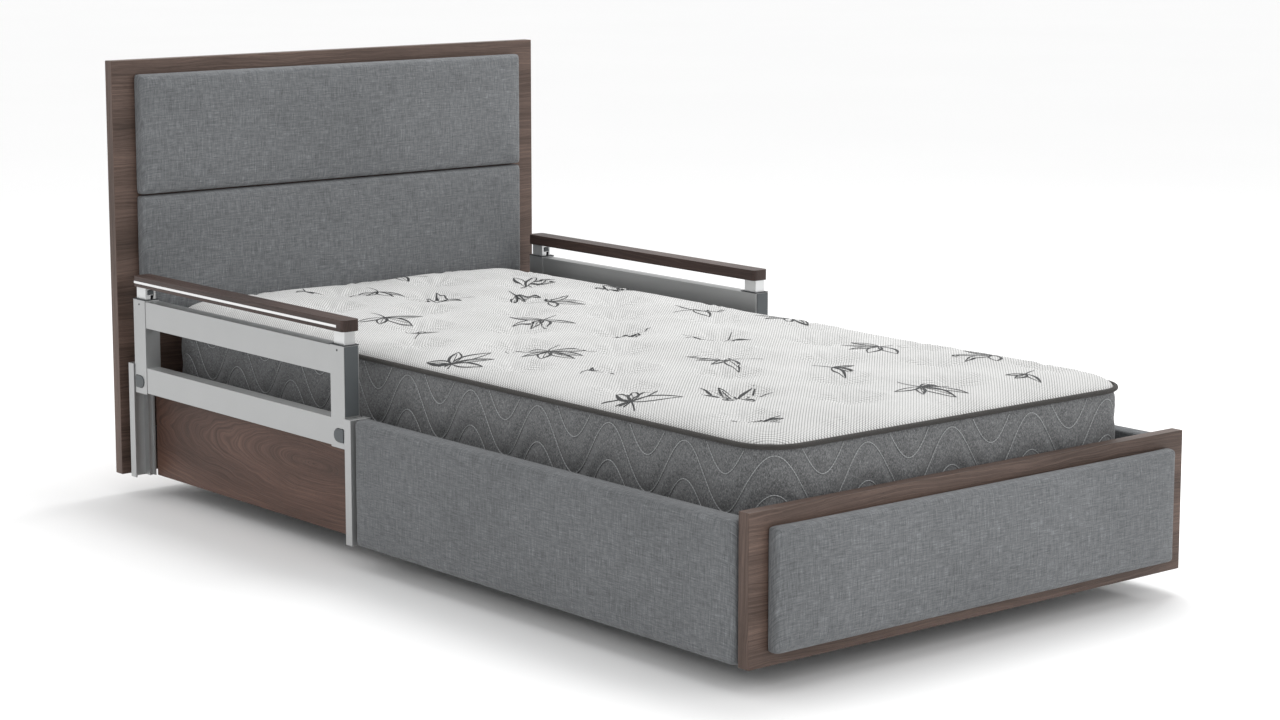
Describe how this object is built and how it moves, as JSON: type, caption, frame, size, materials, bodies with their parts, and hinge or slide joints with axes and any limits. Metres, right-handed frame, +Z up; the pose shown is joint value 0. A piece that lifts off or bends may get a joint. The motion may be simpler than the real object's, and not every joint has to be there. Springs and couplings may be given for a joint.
{
  "type": "adjustable hospital bed",
  "caption": "Home-care bed with a tall padded headboard, upholstered surround, sectioned mattress deck that lifts and folds, and telescopic aluminium side rails that drop.",
  "frame": {"origin": "on the floor, below the middle of the bed's bounding box", "axes": "+X to the right as seen from the foot end, +Y along the bed towards the headboard, +Z up; bed flat and fully lowered, both rails up"},
  "size_m": [1.188, 2.178, 0.995],
  "materials": {
    "walnut": "dark walnut, horizontal grain, satin",
    "upholstery": "mid-grey slubbed linen weave",
    "mattress": "off-white knit top, heathered dark grey border",
    "rail_aluminium": "satin anodised",
    "post_aluminium": "light satin anodised",
    "bright_strip": "polished",
    "dark_plastic": "fine texture",
    "frame_paint": "dark grey powder coat",
    "actuator_plastic": "fine texture",
    "rod_steel": "bright drawn",
    "foot_rubber": "matt"
  },
  "bodies": {
    "base": {"base_frame": "frame_paint", "levelling_foot_foot_left": "foot_rubber", "levelling_foot_foot_right": "foot_rubber", "levelling_foot_head_left": "foot_rubber", "levelling_foot_head_right": "foot_rubber", "lift_actuator_tube": "actuator_plastic"},
    "foot_arm": {"lift_arm_foot": "frame_paint"},
    "head_arm": {"lift_arm_head": "frame_paint"},
    "lift_rod": {"lift_actuator_rod": "rod_steel"},
    "lying_frame": {"lying_frame": "frame_paint", "back_actuator_tube": "actuator_plastic", "leg_actuator_tube": "actuator_plastic", "control_box": "dark_plastic", "seat_deck": "frame_paint", "headboard": "walnut", "headboard_cushion_upper": "upholstery", "headboard_cushion_lower": "upholstery", "footboard": "walnut", "footboard_pad": "upholstery", "side_panel_left": "upholstery", "side_panel_right": "upholstery", "rail_panel_left": "walnut", "rail_panel_right": "walnut", "rail_guide_foot_left": "rail_aluminium", "rail_guide_foot_right": "rail_aluminium", "rail_guide_head_left": "rail_aluminium", "rail_guide_head_right": "rail_aluminium", "mattress_seat": "mattress"},
    "backrest": {"back_deck": "frame_paint", "mattress_back": "mattress"},
    "back_rod": {"back_actuator_rod": "rod_steel"},
    "thigh": {"thigh_deck": "frame_paint", "mattress_thigh": "mattress"},
    "calf": {"calf_deck": "frame_paint", "mattress_calf": "mattress"},
    "leg_rod": {"leg_actuator_rod": "rod_steel"},
    "rail_left": {"rail_post_foot_left": "rail_aluminium", "rail_post_head_left": "rail_aluminium", "rail_crossbar_upper_left": "rail_aluminium", "rail_crossbar_lower_left": "rail_aluminium", "rail_post_cover_left": "dark_plastic"},
    "handrail_left": {"handrail_left": "walnut", "handrail_inlay_left": "bright_strip", "upper_post_foot_left": "post_aluminium", "upper_post_head_left": "post_aluminium"},
    "release_foot_left": {"release_button_foot_left": "dark_plastic"},
    "release_head_left": {"release_button_head_left": "dark_plastic"},
    "catch_left": {"catch_button_left": "dark_plastic"},
    "rail_right": {"rail_post_foot_right": "rail_aluminium", "rail_post_head_right": "rail_aluminium", "rail_crossbar_upper_right": "rail_aluminium", "rail_crossbar_lower_right": "rail_aluminium", "rail_post_cover_right": "dark_plastic"},
    "handrail_right": {"handrail_right": "walnut", "handrail_inlay_right": "bright_strip", "upper_post_foot_right": "post_aluminium", "upper_post_head_right": "post_aluminium"},
    "release_foot_right": {"release_button_foot_right": "dark_plastic"},
    "release_head_right": {"release_button_head_right": "dark_plastic"},
    "catch_right": {"catch_button_right": "dark_plastic"}
  },
  "joints": [
    {"name": "lift", "type": "hinge", "parent": "base", "child": "foot_arm", "pos_m": [0, -0.56676, 0.045], "axis": [1, 0, 0], "range_deg": [0, 51]},
    {"name": "head_arm_swing", "type": "hinge", "parent": "base", "child": "head_arm", "pos_m": [0, 0.28324, 0.045], "axis": [1, 0, 0], "range_deg": [0, 51]},
    {"name": "platform_level", "type": "hinge", "parent": "foot_arm", "child": "lying_frame", "pos_m": [0, -0.102, 0.115], "axis": [1, 0, 0], "range_deg": [-51, 0]},
    {"name": "lift_rod_slide", "type": "slide", "parent": "base", "child": "lift_rod", "axis": [0, -1, 0], "range_m": [0, 0.0603]},
    {"name": "backrest_tilt", "type": "hinge", "parent": "lying_frame", "child": "backrest", "pos_m": [0, 0.21, 0.197], "axis": [1, 0, 0], "range_deg": [0, 65], "deforming": ["mattress_seat"]},
    {"name": "back_rod_slide", "type": "slide", "parent": "lying_frame", "child": "back_rod", "axis": [0, 1, 0], "range_m": [0, 0.0968]},
    {"name": "thigh_tilt", "type": "hinge", "parent": "lying_frame", "child": "thigh", "pos_m": [0, -0.01, 0.197], "axis": [-1, 0, 0], "range_deg": [0, 30], "deforming": ["mattress_seat"]},
    {"name": "calf_fold", "type": "hinge", "parent": "thigh", "child": "calf", "pos_m": [0, -0.36, 0.197], "axis": [1, 0, 0], "range_deg": [0, 46]},
    {"name": "leg_rod_slide", "type": "slide", "parent": "lying_frame", "child": "leg_rod", "axis": [0, -1, 0], "range_m": [0, 0.0467]},
    {"name": "rail_drop_left", "type": "slide", "parent": "lying_frame", "child": "rail_left", "axis": [0, 0, -1], "range_m": [0, 0.19]},
    {"name": "handrail_lower_left", "type": "slide", "parent": "rail_left", "child": "handrail_left", "axis": [0, 0, -1], "range_m": [0, 0.026]},
    {"name": "release_press_foot_left", "type": "slide", "parent": "rail_left", "child": "release_foot_left", "axis": [1, 0, 0], "range_m": [0, 0.003], "stiffness_N_per_m": 400},
    {"name": "release_press_head_left", "type": "slide", "parent": "rail_left", "child": "release_head_left", "axis": [1, 0, 0], "range_m": [0, 0.003], "stiffness_N_per_m": 400},
    {"name": "catch_press_left", "type": "slide", "parent": "handrail_left", "child": "catch_left", "axis": [0, 1, 0], "range_m": [0, 0.0025], "stiffness_N_per_m": 300},
    {"name": "rail_drop_right", "type": "slide", "parent": "lying_frame", "child": "rail_right", "axis": [0, 0, -1], "range_m": [0, 0.19]},
    {"name": "handrail_lower_right", "type": "slide", "parent": "rail_right", "child": "handrail_right", "axis": [0, 0, -1], "range_m": [0, 0.026]},
    {"name": "release_press_foot_right", "type": "slide", "parent": "rail_right", "child": "release_foot_right", "axis": [-1, 0, 0], "range_m": [0, 0.003], "stiffness_N_per_m": 400},
    {"name": "release_press_head_right", "type": "slide", "parent": "rail_right", "child": "release_head_right", "axis": [-1, 0, 0], "range_m": [0, 0.003], "stiffness_N_per_m": 400},
    {"name": "catch_press_right", "type": "slide", "parent": "handrail_right", "child": "catch_right", "axis": [0, 1, 0], "range_m": [0, 0.0025], "stiffness_N_per_m": 300}
  ],
  "couplings": [
    {"joint": "head_arm_swing", "follows": "lift", "ratio": 1},
    {"joint": "platform_level", "follows": "lift", "ratio": -1},
    {"joint": "lift_rod_slide", "follows": "lift", "m_per_rad": 0.067712},
    {"joint": "back_rod_slide", "follows": "backrest_tilt", "m_per_rad": 0.085251},
    {"joint": "leg_rod_slide", "follows": "thigh_tilt", "m_per_rad": 0.088975},
    {"joint": "calf_fold", "follows": "thigh_tilt", "ratio": 1.525}
  ]
}
